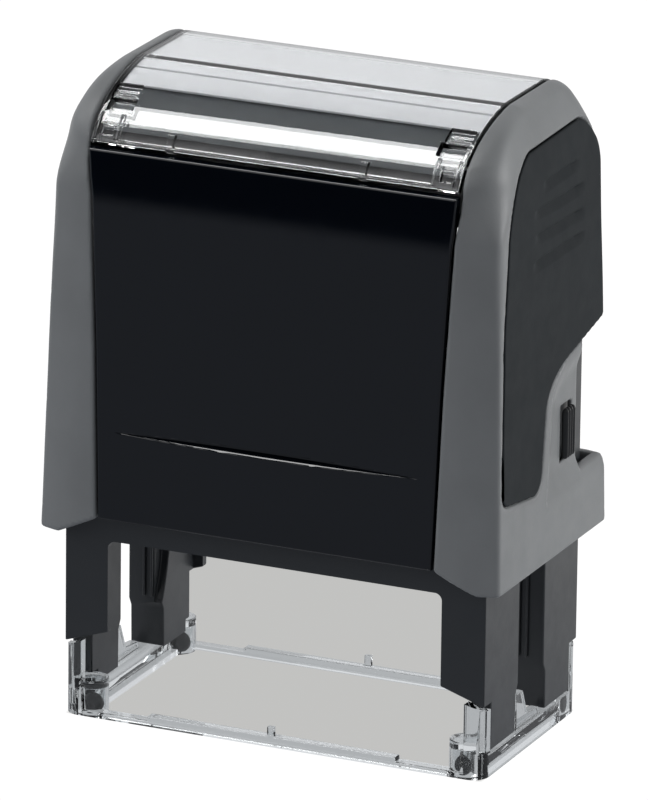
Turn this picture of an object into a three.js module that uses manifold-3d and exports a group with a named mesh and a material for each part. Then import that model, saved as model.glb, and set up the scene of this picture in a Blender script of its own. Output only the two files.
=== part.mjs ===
// Self inking stamp: a frame on a clear base, with a spring loaded handle whose arms carry the
// text plate down while it turns over from the ink pad to the paper.
// Millimetres. X is the width, -Y the front, +Z up, the origin on the ground under the middle.
import * as THREE from 'three';
import { mergeVertices } from 'three/addons/utils/BufferGeometryUtils.js';
import Module from 'manifold-3d';

const wasm = await Module();
wasm.setup();

// ---- driving dimensions ----
const GAP = 0.3;                  // clearance between neighbouring pieces
const STROKE = 20;                // handle travel
const PLATE = { x: 23.5, y: 9 };  // half size of the 47 x 18 text plate

const FRAME = { x: 29.85, y: 15.2, wall: 1.1, foot: 3.4, deck: 51.5, top: 57, crown: 26.5 };
const FRAME_WINDOW = { x: 23.7, top: 24.5 };
const SIDE_WALL = { front: 27, rear: 25 };    // inner faces of the side walls, front and rear halves
const SLOT = 4.1;                 // half width of the side slots that guide the arms
const LEG = { y: 12.9, inner: 11.8, outer: 9.9 };
const DECK_THICKNESS = 1.2;

const BASE = { x: 29.95, y: 15.75, corner: 2.3, rail: 0.8, side: 3.1 };
const BASE_OPENING = { x: 26, y: 14.2 };
const BASE_POST = { x: 27.2, y: 14.4, inner: 10.3, outer: 9 };   // clear posts under the legs
const BASE_BAR = { x: 17.7, top: 1.4 };
const BASE_MARK = { x: 0.5, y: 0.7, top: 2.8 };
const FOOT = { x: 26.6, y: 13.4, r: 1.4, height: 3.4, boss: 2.1, bossHeight: 4.8 };

const DIE_FACE = 10.4;            // axle to text face
const DIE_LOW = 0.5;              // text face above the ground when pressed
const AXLE = { r: 1.5, rest: DIE_FACE + DIE_LOW + STROKE };
const CAM_PIN = { r: 0.9, offset: 5.5, inWall: 0.8, track: 1.1 };
const PAD_FACE = AXLE.rest + DIE_FACE + 0.6;
// Layers of the die, as offsets from the axle towards the text face.
const CARRIER = { x: 24.6, y: 9.8, layer: [5.2, 7.2], ear: 22.8 };
const CUSHION = { x: 23.6, y: 9.2, layer: [7.4, 8.4] };
const RUBBER = { low: 8.6, relief: DIE_FACE - 0.8 };
const BORDER = { x: 22.6, y: 8.1, width: 0.7 };
const BARS = { x: 18, rows: [-4, 0, 4], half: 0.4 };

const ARM = { inner: 28.2, outer: 29.5, y: 3.7 };
const BRIDGE = { low: 72.6, high: 74.6, y: 12 };
const SPRING = { inner: 4.6, outer: 6.2, post: 3.5 };
const CUP = { inner: 6.7, outer: 7.7, top: 82.1, lid: 1.4 };

const CAP = { bottom: 25.8, shoulder: 78.3, top: 86.7, yLow: 19.3, yHigh: 17.35, wall: 1.6 };
const CAVITY = 30.3;              // half width inside the handle
const PANEL_BOTTOM = 28.6;
const PANEL_TOP = 78.8;           // the window starts just above this height
const FRONT_PANEL_TOP = 78.05;
const GROOVE = { x: [-22.4, 23.7], z: [40.7, 41.3], y: -18.4 };
const REAR_PANEL = 28;            // half width of the rear panel
const SERVICE = { x: 25.8, low: 41.2, high: 70.8 };   // rear opening for the ink cartridge
const RECESS = { wall: 30.9, low: 35, high: 52, end: 10.9 };
const LOCK = { inner: 30.95, outer: 31.85, y: [4.2, 8.8], z: [37.4, 44.4], ribs: 5 };
const CARTRIDGE = { x: 24.3, y: [-13.3, 15.6], top: 49.7, flange: 25.4 };
const PAD = { x: 23.4, y: 10, height: 4.3 };
const CARD = { x: 24.8, y: [-3, 10.2], z: [84.7, 85.1] };
const WINDOW_WALL = 1.3;
const TRAY = { x: 25.4, outer: 2.3, inner: 3.2, low: 79.6 };
const GRIP_GROOVE = { rows: 4, z: 77.4, pitch: 3.25, height: 1, depth: 0.35 };

// The front and rear of each cheek turn away from the panel, then more sharply at the corner.
// Each facet is a point on it and its outward direction, for the front or rear right corner.
const CORNER_FACET = { x: 29.55, y: 18.3, z: 26, normal: [0.356, 0.935, 0.036] };
const FACETS = {
  front: [{ x: 23.9, y: 19.2, z: 28.6, normal: [0.164, 0.986, 0.0366] }, CORNER_FACET],
  rear: [{ x: 28.3, y: 19.1, z: 28.6, normal: [0.164, 0.986, 0.0366] }, CORNER_FACET],
};
const CORNER_WALL = 0.75;         // wall left at the corners of the handle

const COLOURS = {
  black: { color: 0x24272a, roughness: 0.45 },
  gloss: { color: 0x14171b, roughness: 0.08 },
  grey: { color: 0x66686a, roughness: 0.5 },
  grip: { color: 0x3a3e40, roughness: 0.7 },
  clear: { color: 0xd8dcde, roughness: 0.05, transparent: true, opacity: 0.35 },
  card: { color: 0xc8c8ca, roughness: 0.8 },
  rubber: { color: 0x2a2b2d, roughness: 0.85 },
  plate: { color: 0x8c2f26, roughness: 0.6 },
  foam: { color: 0xb9b4a6, roughness: 0.9 },
  ink: { color: 0x1c2a5a, roughness: 0.9 },
  steel: { color: 0xb5b8bb, roughness: 0.25, metalness: 1 },
};

// ---- solids ----
const ACROSS = [-40, 40];         // beyond the object in X, Y and Z, for cuts that go right through
const THROUGH = [-30, 30];
const UPWARDS = [-5, 100];

function toSolid(source) {
  const geometry = source.clone();
  geometry.deleteAttribute('normal');
  geometry.deleteAttribute('uv');
  const merged = mergeVertices(geometry, 1e-4);
  const mesh = new wasm.Mesh({
    numProp: 3,
    vertProperties: new Float32Array(merged.attributes.position.array),
    triVerts: new Uint32Array(merged.index.array),
  });
  return new wasm.Manifold(mesh);
}

function toGeometry(solid) {
  const mesh = solid.getMesh();
  const geometry = new THREE.BufferGeometry();
  geometry.setAttribute('position', new THREE.BufferAttribute(new Float32Array(mesh.vertProperties), 3));
  geometry.setIndex(new THREE.BufferAttribute(new Uint32Array(mesh.triVerts), 1));
  geometry.computeVertexNormals();
  return geometry;
}

function box([x0, x1], [y0, y1], [z0, z1]) {
  const geometry = new THREE.BoxGeometry(x1 - x0, y1 - y0, z1 - z0);
  geometry.translate((x0 + x1) / 2, (y0 + y1) / 2, (z0 + z1) / 2);
  return toSolid(geometry);
}

function extruded(shape, length, axes, origin) {
  const settings = { depth: length, bevelEnabled: false, curveSegments: 10 };
  const geometry = new THREE.ExtrudeGeometry(shape, settings);
  geometry.applyMatrix4(new THREE.Matrix4().makeBasis(...axes));
  geometry.translate(...origin);
  return toSolid(geometry);
}

const X = new THREE.Vector3(1, 0, 0);
const Y = new THREE.Vector3(0, 1, 0);
const Z = new THREE.Vector3(0, 0, 1);

// An outline in (y, z) between two x values.
const alongX = (shape, [x0, x1]) => extruded(shape, x1 - x0, [Y, Z, X], [x0, 0, 0]);
// An outline in (x, z) between two y values.
const alongY = (shape, [y0, y1]) => extruded(shape, y1 - y0, [X, Z, Y.clone().negate()], [0, y1, 0]);
// An outline in (x, y) between two z values.
const alongZ = (shape, [z0, z1]) => extruded(shape, z1 - z0, [X, Y, Z], [0, 0, z0]);

function outline(points) {
  return new THREE.Shape(points.map(([a, b]) => new THREE.Vector2(a, b)));
}

function post(r, [z0, z1], x = 0, y = 0, sides = 32) {
  const geometry = new THREE.CylinderGeometry(r, r, z1 - z0, sides);
  geometry.rotateX(Math.PI / 2);
  geometry.translate(x, y, (z0 + z1) / 2);
  return toSolid(geometry);
}

function pin(r, [x0, x1], y, z) {
  const geometry = new THREE.CylinderGeometry(r, r, x1 - x0, 24);
  geometry.rotateZ(Math.PI / 2);
  geometry.translate((x0 + x1) / 2, y, z);
  return toSolid(geometry);
}

// Takes away everything on the side of the plane that its normal points to.
function cutBeyond(solid, point, normal) {
  const size = 200;
  const geometry = new THREE.BoxGeometry(size, size, size);
  geometry.translate(0, 0, size / 2);
  const turn = new THREE.Quaternion().setFromUnitVectors(Z, new THREE.Vector3(...normal).normalize());
  geometry.applyQuaternion(turn);
  geometry.translate(...point);
  return solid.subtract(toSolid(geometry));
}

const union = (solids) => solids.reduce((whole, next) => whole.add(next));
const mirrored = (build) => [-1, 1].map((side) => build(side));
const ordered = (side, a, b) => (side > 0 ? [a, b] : [-b, -a]);

function roundedRectangle(x, y, r) {
  const shape = new THREE.Shape();
  shape.moveTo(-x + r, -y);
  shape.lineTo(x - r, -y);
  shape.absarc(x - r, -y + r, r, -Math.PI / 2, 0);
  shape.lineTo(x, y - r);
  shape.absarc(x - r, y - r, r, 0, Math.PI / 2);
  shape.lineTo(-x + r, y);
  shape.absarc(-x + r, y - r, r, Math.PI / 2, Math.PI);
  shape.lineTo(-x, -y + r);
  shape.absarc(-x + r, -y + r, r, Math.PI, Math.PI * 1.5);
  return shape;
}

const stamp = new THREE.Group();

function addPiece(name, colour, geometry) {
  const mesh = new THREE.Mesh(geometry, new THREE.MeshStandardMaterial(COLOURS[colour]));
  mesh.name = name;
  stamp.add(mesh);
}

const addSolid = (name, colour, solid) => addPiece(name, colour, toGeometry(solid));

// ---- frame ----
// The path of the cam pin beside the axle, from above it at rest to below it when pressed.
function camTrack(halfWidth) {
  const steps = 24;
  const left = [];
  const right = [];
  for (let i = 0; i <= steps; i++) {
    const turn = (Math.PI * i) / steps;
    const y = CAM_PIN.offset * Math.sin(turn);
    const z = AXLE.rest - (STROKE * i) / steps + CAM_PIN.offset * Math.cos(turn);
    const slopeY = CAM_PIN.offset * Math.cos(turn);
    const slopeZ = -STROKE / Math.PI - CAM_PIN.offset * Math.sin(turn);
    const length = Math.hypot(slopeY, slopeZ);
    left.push([y + (halfWidth * slopeZ) / length, z - (halfWidth * slopeY) / length]);
    right.unshift([y - (halfWidth * slopeZ) / length, z + (halfWidth * slopeY) / length]);
  }
  return outline([...left, ...right]);
}

function buildFrame() {
  const under = UPWARDS[0];
  const inside = FRAME.y - FRAME.wall;
  const ceiling = FRAME.deck - DECK_THICKNESS;
  const slotDepth = (side) => ordered(side, SIDE_WALL.rear - 1, ACROSS[1]);
  let frame = box([-FRAME.x, FRAME.x], [-FRAME.y, FRAME.y], [FRAME.foot, FRAME.top]);
  frame = frame.subtract(box([-SIDE_WALL.front, SIDE_WALL.front], [-inside, SLOT], [under, ceiling]));
  frame = frame.subtract(box([-SIDE_WALL.rear, SIDE_WALL.rear], [0, inside], [under, ceiling]));
  frame = frame.subtract(box(ACROSS, [-inside, inside], [FRAME.deck, UPWARDS[1]]));
  for (const side of [-1, 1]) {
    frame = frame.subtract(box(ordered(side, FRAME.crown, ACROSS[1]), THROUGH, [FRAME.deck, UPWARDS[1]]));
  }
  frame = frame.subtract(alongY(roundedRectangle(FRAME_WINDOW.x, FRAME_WINDOW.top, 1), THROUGH));
  for (const side of [-1, 1]) {
    const near = side * 20;
    const far = side * 31;
    const foot = [[near, under], [near, LEG.inner + 1.3], [far, LEG.outer - 0.4], [far, under]];
    const legFoot = outline(side < 0 ? foot : foot.reverse());
    frame = frame.subtract(alongY(legFoot, [THROUGH[0], -LEG.y]));
    frame = frame.subtract(alongY(legFoot, [LEG.y, THROUGH[1]]));
    frame = frame.subtract(box(slotDepth(side), [-SLOT, SLOT], UPWARDS));
    const mouth = outline([[-5, under], [5, under], [4.75, 8.6], [SLOT, 9.8], [-SLOT, 9.8], [-4.75, 8.6]]);
    frame = frame.subtract(alongX(mouth, slotDepth(side)));
    const track = ordered(side, 20, SIDE_WALL.rear + CAM_PIN.track);
    frame = frame.subtract(alongX(camTrack(CAM_PIN.r + GAP), track));
    const flange = ordered(side, 20, CARTRIDGE.flange + GAP);
    const rails = [CARTRIDGE.top - 2.2, CARTRIDGE.top + 0.2];
    frame = frame.subtract(box(flange, [SLOT - 0.1, THROUGH[1]], rails));
    for (const end of [-1, 1]) {
      const clearance = post(FOOT.boss + GAP, [under, FOOT.bossHeight + GAP], side * FOOT.x, end * FOOT.y);
      frame = frame.subtract(clearance);
    }
  }
  const passage = [-CARTRIDGE.x - GAP, CARTRIDGE.x + GAP];
  frame = frame.subtract(box(passage, [0, THROUGH[1]], [PAD_FACE - 0.4, ceiling]));
  return frame.add(post(SPRING.post, [ceiling, FRAME.deck + 3]));
}

function buildBase() {
  const envelope = alongZ(roundedRectangle(BASE.x, BASE.y, BASE.corner), [0, 20]);
  let base = envelope.intersect(box(ACROSS, THROUGH, [0, BASE.side]));
  base = base.subtract(box([-BASE_OPENING.x, BASE_OPENING.x], [-BASE_OPENING.y, BASE_OPENING.y], UPWARDS));
  base = base.subtract(box([-BASE_POST.x, BASE_POST.x], THROUGH, [BASE.rail, UPWARDS[1]]));
  for (const end of [-1, 1]) {
    base = base.add(box([-BASE_BAR.x, BASE_BAR.x], ordered(end, BASE_OPENING.y, BASE.y), [0, BASE_BAR.top]));
    const mark = ordered(end, BASE.y - BASE_MARK.y, BASE.y);
    base = base.add(box([-BASE_MARK.x, BASE_MARK.x], mark, [0, BASE_MARK.top]));
    for (const side of [-1, 1]) {
      const edge = side * 31;
      const near = side * BASE_POST.x;
      const gable = [[near, 0], [near, BASE_POST.inner], [edge, BASE_POST.outer], [edge, 0]];
      const cheek = alongY(outline(side < 0 ? gable : gable.reverse()), ordered(end, BASE_POST.y, BASE.y));
      const flank = box(ordered(side, 28.8, BASE.x), ordered(end, LEG.y + GAP, BASE.y), [0, LEG.outer - 0.7]);
      base = base.add(cheek.add(flank).intersect(envelope));
      base = base.add(post(FOOT.boss, [0, FOOT.bossHeight], side * FOOT.x, end * FOOT.y));
      base = base.subtract(post(FOOT.r + GAP, [-1, FOOT.height + GAP], side * FOOT.x, end * FOOT.y));
    }
  }
  for (const side of [-1, 1]) {
    const guide = outline([[-3.8, 0], [3.8, 0], [3.8, 4], [0, 4.4], [-1.6, 8], [-3.8, 8]]);
    base = base.add(alongX(guide, ordered(side, ARM.inner, ARM.outer)));
  }
  return base;
}

function addFeet() {
  for (const [side, sideName] of [[-1, 'left'], [1, 'right']]) {
    for (const [end, endName] of [[-1, 'front'], [1, 'rear']]) {
      const profile = [[0, 0], [FOOT.r, 0], [FOOT.r, 2.6], [FOOT.r * 0.7, 3.15], [0, FOOT.height]];
      const foot = new THREE.LatheGeometry(profile.map(([r, z]) => new THREE.Vector2(r, z)), 24);
      foot.rotateX(Math.PI / 2);
      foot.translate(side * FOOT.x, end * FOOT.y, 0);
      addSolid(`rubber_foot_${endName}_${sideName}`, 'rubber', toSolid(foot));
    }
  }
}

// ---- die, which hangs on the axle between the arms with its text face up at rest ----
const fromAxle = (offset) => AXLE.rest + offset;

function buildCarrier() {
  const z = fromAxle;
  const { x, y, layer, ear } = CARRIER;
  let carrier = box([-x, x], [-y, y], layer.map(z));
  const rightHalf = [[1.6, z(-2.4)], [2.6, z(-1)], [y, z(5.3)]];
  const leftHalf = rightHalf.map(([across, height]) => [-across, height]).reverse();
  const earOutline = outline([...leftHalf, ...rightHalf]);
  const pinStart = ear + 0.2;
  for (const side of [-1, 1]) {
    carrier = carrier.add(alongX(earOutline, ordered(side, ear, x)));
    carrier = carrier.add(pin(AXLE.r, ordered(side, pinStart, ARM.outer - GAP), 0, AXLE.rest));
    const camPin = ordered(side, pinStart, SIDE_WALL.rear + CAM_PIN.inWall);
    carrier = carrier.add(pin(CAM_PIN.r, camPin, 0, z(CAM_PIN.offset)));
  }
  return carrier;
}

function buildTextPlate() {
  const face = [RUBBER.relief - 0.1, DIE_FACE].map(fromAxle);
  const window = { x: BORDER.x - BORDER.width, y: BORDER.y - BORDER.width };
  const above = [RUBBER.relief, DIE_FACE + 1].map(fromAxle);
  let plate = box([-PLATE.x, PLATE.x], [-PLATE.y, PLATE.y], [RUBBER.low, RUBBER.relief].map(fromAxle));
  const border = box([-BORDER.x, BORDER.x], [-BORDER.y, BORDER.y], face);
  plate = plate.add(border.subtract(box([-window.x, window.x], [-window.y, window.y], above)));
  for (const row of BARS.rows) {
    plate = plate.add(box([-BARS.x, BARS.x], [row - BARS.half, row + BARS.half], face));
  }
  return plate;
}

// ---- ink cartridge, a tray held upside down with the pad in its open side ----
function buildTray() {
  const { x, y, top, flange } = CARTRIDGE;
  let tray = box([-x, x], y, [PAD_FACE, top]);
  tray = tray.add(box([-flange, flange], [SLOT + 0.4, y[1]], [top - 1.9, top - 0.1]));
  const [padX, padY] = [PAD.x + GAP, PAD.y + GAP];
  tray = tray.subtract(box([-padX, padX], [-padY, padY], [0, PAD_FACE + PAD.height + GAP]));
  const grip = box([-9, 9], [y[1] - 0.1, y[1] + 0.9], [PAD_FACE + 1.5, top - 1.5]);
  return tray.add(grip);
}

// ---- handle ----
// Side profile of the whole handle in (y, z), moved inwards by an inset.
function sideProfile(inset, bottom) {
  const lean = (CAP.yLow - CAP.yHigh) / (CAP.shoulder - CAP.bottom);
  const low = CAP.yHigh + lean * (CAP.shoulder - bottom) - inset;
  const high = CAP.yHigh - inset;
  const shape = new THREE.Shape();
  shape.moveTo(-low, bottom);
  shape.lineTo(low, bottom);
  shape.lineTo(high, CAP.shoulder);
  shape.quadraticCurveTo(16.2 - inset * 0.9, CAP.top - 0.3 - inset, 10 - inset * 0.4, CAP.top - inset);
  shape.lineTo(-2, CAP.top - inset);
  shape.quadraticCurveTo(-13.9 + inset * 0.6, 85 - inset * 0.8, -high, CAP.shoulder);
  return shape;
}

// Front profile of the whole handle in (x, z).
function frontProfile(bottom) {
  const shape = new THREE.Shape();
  shape.moveTo(-32.7, bottom);
  shape.lineTo(32.7, bottom);
  shape.lineTo(31.7, 57);
  shape.lineTo(31.3, 75);
  shape.quadraticCurveTo(31, 83.5, 27.6, CAP.top);
  shape.lineTo(-27.6, CAP.top);
  shape.quadraticCurveTo(-31, 83.5, -31.3, 75);
  shape.lineTo(-31.7, 57);
  return shape;
}

// The middle zone of the panels and the window, in (x, z), wider at the top.
function middleZone(inset) {
  const half = [[23.6, 20], [23.7, PANEL_BOTTOM], [24.4, 52], [25.3, 72], [25.87, 76], [25.87, 90]];
  const right = half.map(([x, z]) => [x - inset, z]);
  const left = half.map(([x, z]) => [-x + inset, z]).reverse();
  return outline([...right, ...left]);
}

// Cuts the facets of one side's corners, moved inwards by an inset.
function cutCorners(solid, side, inset = 0) {
  let cut = solid;
  for (const [end, facets] of [[-1, FACETS.front], [1, FACETS.rear]]) {
    for (const { x, y, z, normal } of facets) {
      const outwards = new THREE.Vector3(side * normal[0], end * normal[1], normal[2]);
      const point = new THREE.Vector3(side * x, end * y, z).addScaledVector(outwards, -inset);
      cut = cutBeyond(cut, point.toArray(), outwards.toArray());
    }
  }
  return cut;
}

const outer = alongX(sideProfile(0, CAP.bottom), ACROSS).intersect(alongY(frontProfile(CAP.bottom), THROUGH));
const inner = (inset) => alongX(sideProfile(inset, 10), ACROSS);

function buildCavity() {
  const width = outline([[-CAVITY, 10], [CAVITY, 10], [CAVITY, 70], [29.8, 76], [26.2, 83.4],
    [-26.2, 83.4], [-29.8, 76], [-CAVITY, 70]]);
  const hollow = inner(CAP.wall).intersect(alongY(width, THROUGH));
  return cutCorners(cutCorners(hollow, -1, CORNER_WALL), 1, CORNER_WALL);
}

const cavity = buildCavity();

function gripOutline(grow) {
  const shape = new THREE.Shape();
  shape.moveTo(26, 55.8 - grow);
  shape.lineTo(6, 51.7 - grow);
  shape.quadraticCurveTo(-1.5 + grow, 50 - grow, -2 + grow, 45.3);
  shape.lineTo(-3.4 + grow, 38.5);
  shape.quadraticCurveTo(-4 + grow, 36.4 - grow, -5.6, 36.4 - grow);
  shape.lineTo(-12.2, 37.1 - grow);
  shape.quadraticCurveTo(-13.8 - grow, 37.4 - grow, -13.8 - grow, 39);
  shape.lineTo(-13.8 - grow, 73);
  shape.quadraticCurveTo(-13.4 - grow, 81.5 + grow, -6, 83.5 + grow);
  shape.lineTo(6, 83.5 + grow);
  shape.quadraticCurveTo(12, 83.2 + grow, 26, 77 + grow);
  return shape;
}

const gripSide = (side, grow) => alongX(gripOutline(grow), ordered(side, REAR_PANEL + GAP - grow, ACROSS[1]));

function recessOutline() {
  const shape = new THREE.Shape();
  shape.moveTo(30, RECESS.low);
  shape.lineTo(30, 54);
  shape.lineTo(7, 49.8);
  shape.quadraticCurveTo(0.6, 48.8, 0.2, 44.5);
  shape.lineTo(-0.6, 38);
  shape.quadraticCurveTo(-0.6, RECESS.low, 1.6, RECESS.low);
  return shape;
}

function buildCheek(side) {
  const lowerEdge = (x) => PANEL_BOTTOM - ((x - 23.7) * (PANEL_BOTTOM - CAP.bottom)) / 5.9;
  const outwards = (x) => ordered(side, x, ACROSS[1]);
  let cheek = outer.intersect(box(outwards(23), THROUGH, UPWARDS));
  cheek = cheek.subtract(cavity);
  cheek = cheek.subtract(alongY(middleZone(-GAP / 2), THROUGH));
  cheek = cheek.subtract(box(ordered(side, 20, REAR_PANEL + GAP), [5, THROUGH[1]], [0, PANEL_TOP + GAP]));
  cheek = cutCorners(cheek, side);
  cheek = cheek.subtract(gripSide(side, GAP));
  cheek = cheek.subtract(alongX(recessOutline(), outwards(RECESS.wall)));
  cheek = cheek.subtract(box(outwards(27), [RECESS.end, THROUGH[1]], [RECESS.low, 60]));
  const slotY = [LOCK.y[0] - GAP, LOCK.y[1] + GAP];
  const slotZ = [LOCK.z[0] - GAP, LOCK.z[1] + GAP];
  cheek = cheek.subtract(box(outwards(30), slotY, slotZ));
  const wedge = [[side * 20, 20], [side * 20, lowerEdge(20)], [side * 29.6, CAP.bottom], [side * 29.6, 20]];
  return cheek.subtract(alongY(outline(side < 0 ? wedge : wedge.reverse()), THROUGH));
}

function buildGrip(side) {
  let grip = cutCorners(outer.intersect(gripSide(side, 0)).subtract(cavity), side);
  const { rows, z: firstZ, pitch, height, depth } = GRIP_GROOVE;
  for (let row = 0; row < rows; row++) {
    const z = firstZ - row * pitch;
    const surface = 31.46 - (z - 67.6) * 0.03;
    const length = [-3.6 - row * 0.5, 10.2 + row * 0.4];
    const groove = box(ordered(side, surface - depth, ACROSS[1]), length, [z - height / 2, z + height / 2]);
    grip = grip.subtract(groove);
  }
  return grip;
}

function buildFrontPanel() {
  const zone = alongY(middleZone(GAP / 2), [THROUGH[0], 0]);
  const panel = outer.intersect(zone).subtract(inner(CAP.wall));
  const height = box(ACROSS, THROUGH, [PANEL_BOTTOM, FRONT_PANEL_TOP]);
  return panel.intersect(height).subtract(box(GROOVE.x, [THROUGH[0], GROOVE.y], GROOVE.z));
}

function buildRearPanel() {
  const height = [PANEL_BOTTOM, PANEL_TOP - GAP / 2];
  const rear = [0, THROUGH[1]];
  const panel = outer.intersect(box([-REAR_PANEL, REAR_PANEL], rear, height)).subtract(inner(CAP.wall));
  return panel.subtract(box([-SERVICE.x, SERVICE.x], rear, [SERVICE.low, SERVICE.high]));
}

function buildWindow() {
  const shell = outer.intersect(alongY(middleZone(GAP / 2), THROUGH)).subtract(inner(WINDOW_WALL));
  return shell.intersect(box(ACROSS, THROUGH, [PANEL_TOP + GAP / 2, UPWARDS[1]]));
}

function buildCardTray() {
  const { x, outer: near, inner: far, low } = TRAY;
  return inner(near).subtract(inner(far)).intersect(box([-x, x], THROUGH, [low, UPWARDS[1]]));
}

function buildLockButton(side) {
  const { inner: back, outer: face, y, z, ribs } = LOCK;
  let button = box(ordered(side, back, face - 0.3), y, z);
  const pitch = (y[1] - y[0]) / ribs;
  for (let i = 0; i < ribs; i++) {
    const start = y[0] + i * pitch + 0.12;
    const rib = [start, start + pitch - 0.24];
    button = button.add(box(ordered(side, face - 0.4, face), rib, [z[0] + 0.2, z[1] - 0.2]));
  }
  return button;
}

function buildYoke() {
  const hole = pin(AXLE.r + 0.25, ACROSS, 0, AXLE.rest);
  const low = AXLE.rest - 2.6;
  const buildArm = (side) => box(ordered(side, ARM.inner, ARM.outer), [-ARM.y, ARM.y], [low, BRIDGE.high]);
  const arms = mirrored(buildArm);
  const plate = box([-ARM.outer, ARM.outer], [-BRIDGE.y, BRIDGE.y], [BRIDGE.low, BRIDGE.high]);
  const cup = post(CUP.outer, [BRIDGE.low, CUP.top]);
  const well = post(CUP.inner, [BRIDGE.low - 5, CUP.top - CUP.lid]);
  const pilot = post(SPRING.post, [FRAME.deck + 25, CUP.top - 1]);
  return union([plate, ...arms, cup]).subtract(well).subtract(hole).add(pilot);
}

function buildSpring() {
  const low = FRAME.deck + GAP;
  const high = CUP.top - CUP.lid - GAP;
  const tube = post(SPRING.outer, [low, high], 0, 0, 40);
  return tube.subtract(post(SPRING.inner, [low - 1, high + 1], 0, 0, 40));
}

// ---- assembly ----
addSolid('inner_frame', 'black', buildFrame());
addSolid('clear_base', 'clear', buildBase());
addFeet();
addSolid('press_yoke', 'black', buildYoke());
addSolid('front_panel', 'gloss', buildFrontPanel());
addSolid('rear_panel', 'gloss', buildRearPanel());
for (const [side, name] of [[-1, 'left'], [1, 'right']]) {
  addSolid(`cheek_${name}`, 'grey', buildCheek(side));
  addSolid(`grip_insert_${name}`, 'grip', buildGrip(side));
  addSolid(`lock_button_${name}`, 'black', buildLockButton(side));
}
addSolid('index_window', 'clear', buildWindow());
addSolid('index_card', 'card', box([-CARD.x, CARD.x], CARD.y, CARD.z));
addSolid('index_tray', 'black', buildCardTray());
addSolid('die_carrier', 'black', buildCarrier());
const cushion = box([-CUSHION.x, CUSHION.x], [-CUSHION.y, CUSHION.y], CUSHION.layer.map(fromAxle));
addSolid('die_cushion', 'foam', cushion);
addSolid('text_plate', 'plate', buildTextPlate());
addSolid('ink_cartridge', 'black', buildTray());
addSolid('ink_pad', 'ink', box([-PAD.x, PAD.x], [-PAD.y, PAD.y], [PAD_FACE, PAD_FACE + PAD.height]));
addSolid('return_spring', 'steel', buildSpring());

export default stamp;
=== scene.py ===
"""Looks for the self inking stamp: moulded shells, clear parts, rubber, foam and steel on the frame.

Shapes are worked out in millimetres and turned into metres as each mesh is made.
X is the width, -Y the front and +Z up, with the origin on the ground under the middle.
"""
import math

import bmesh
import bpy
import numpy as np
from mathutils import Matrix, Vector


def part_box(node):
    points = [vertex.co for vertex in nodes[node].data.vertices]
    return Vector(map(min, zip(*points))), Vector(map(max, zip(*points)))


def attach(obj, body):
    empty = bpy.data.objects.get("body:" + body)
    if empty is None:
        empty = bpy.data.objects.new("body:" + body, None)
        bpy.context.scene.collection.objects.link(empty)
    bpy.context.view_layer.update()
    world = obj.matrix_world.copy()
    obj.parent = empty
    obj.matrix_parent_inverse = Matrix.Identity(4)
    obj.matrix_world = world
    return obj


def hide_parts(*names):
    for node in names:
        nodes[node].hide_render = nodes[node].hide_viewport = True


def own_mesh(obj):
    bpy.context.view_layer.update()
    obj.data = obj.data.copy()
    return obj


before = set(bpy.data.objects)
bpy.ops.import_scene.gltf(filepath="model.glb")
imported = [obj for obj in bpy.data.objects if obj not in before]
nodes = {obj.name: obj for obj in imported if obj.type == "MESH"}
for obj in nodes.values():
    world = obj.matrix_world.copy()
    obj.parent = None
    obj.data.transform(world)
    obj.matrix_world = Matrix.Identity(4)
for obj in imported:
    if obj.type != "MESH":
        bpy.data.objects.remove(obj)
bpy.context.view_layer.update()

MM = 0.001
SIDES = (("left", -1), ("right", 1))


def node_box(node):
    """The lowest and highest corners of a node, in millimetres."""
    low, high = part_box(node)
    return np.array(low) / MM, np.array(high) / MM


# ---- driving dimensions, in millimetres ----
cheek_low, cheek_high = node_box("cheek_right")
panel_low, panel_high = node_box("front_panel")
window_low, window_high = node_box("index_window")
button_low, button_high = node_box("lock_button_right")

# The handle's shell.
GAP = 0.3                      # clearance between neighbouring pieces
WALL = 1.6                     # wall of the handle, front and rear
CORNER_WALL = 0.75             # wall at the corners of the handle
BOTTOM = cheek_low[2]          # lower edge of the handle
TOP = cheek_high[2]
PROFILE_BOTTOM = 10.0          # the outlines run on to here, well below the handle
SHOULDER = 78.3                # where the front starts to curve over
Y_LOW = cheek_high[1]          # half depth of the handle at its lower edge
Y_SHOULDER = 17.35             # and at its shoulder
LEAN = (Y_LOW - Y_SHOULDER) / (SHOULDER - BOTTOM)
SIDE_FACE = 31.3               # half width near the top
CAVITY = 30.3                  # half width inside the handle
CAVITY_TOP = 83.4
CROWN_START = 72.5             # the pressed frame's corners stay under this height in the handle
CROWN_HALF = 26.8              # the frame's crown stays inside this half width
CROWN_THICKER = 2.5            # extra wall over the frame's corners
REAR_PANEL = 27.5              # half width of the rear panel
# Half width of the panel and the window at some heights: they widen towards the top.
MIDDLE_HEIGHTS = (20, 28.6, 52, 72, 76, 90)
MIDDLE_WIDTHS = (23.6, 23.7, 24.4, 25.3, 25.87, 25.87)
# The facets at the corners, each as a place (x, depth, z) on it and the way it faces.
FRONT_FACETS = (((23.9, 19.2, 28.6), (0.164, 0.986, 0.0366)), ((29.55, 18.3, 26), (0.356, 0.935, 0.036)))
REAR_FACETS = (((28.3, 19.1, 28.6), (0.164, 0.986, 0.028)), ((29.55, 18.9, 26), (0.356, 0.935, 0.01)))
REAR_TOP_FACET = ((30.2, 12.8, 83.8), (0.45, 0.72, 0.53))
# The lower edge of a cheek rises from the side to the panel over this stretch of x.
EDGE_START, EDGE_WIDTH = 23.7, 5.9

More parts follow.
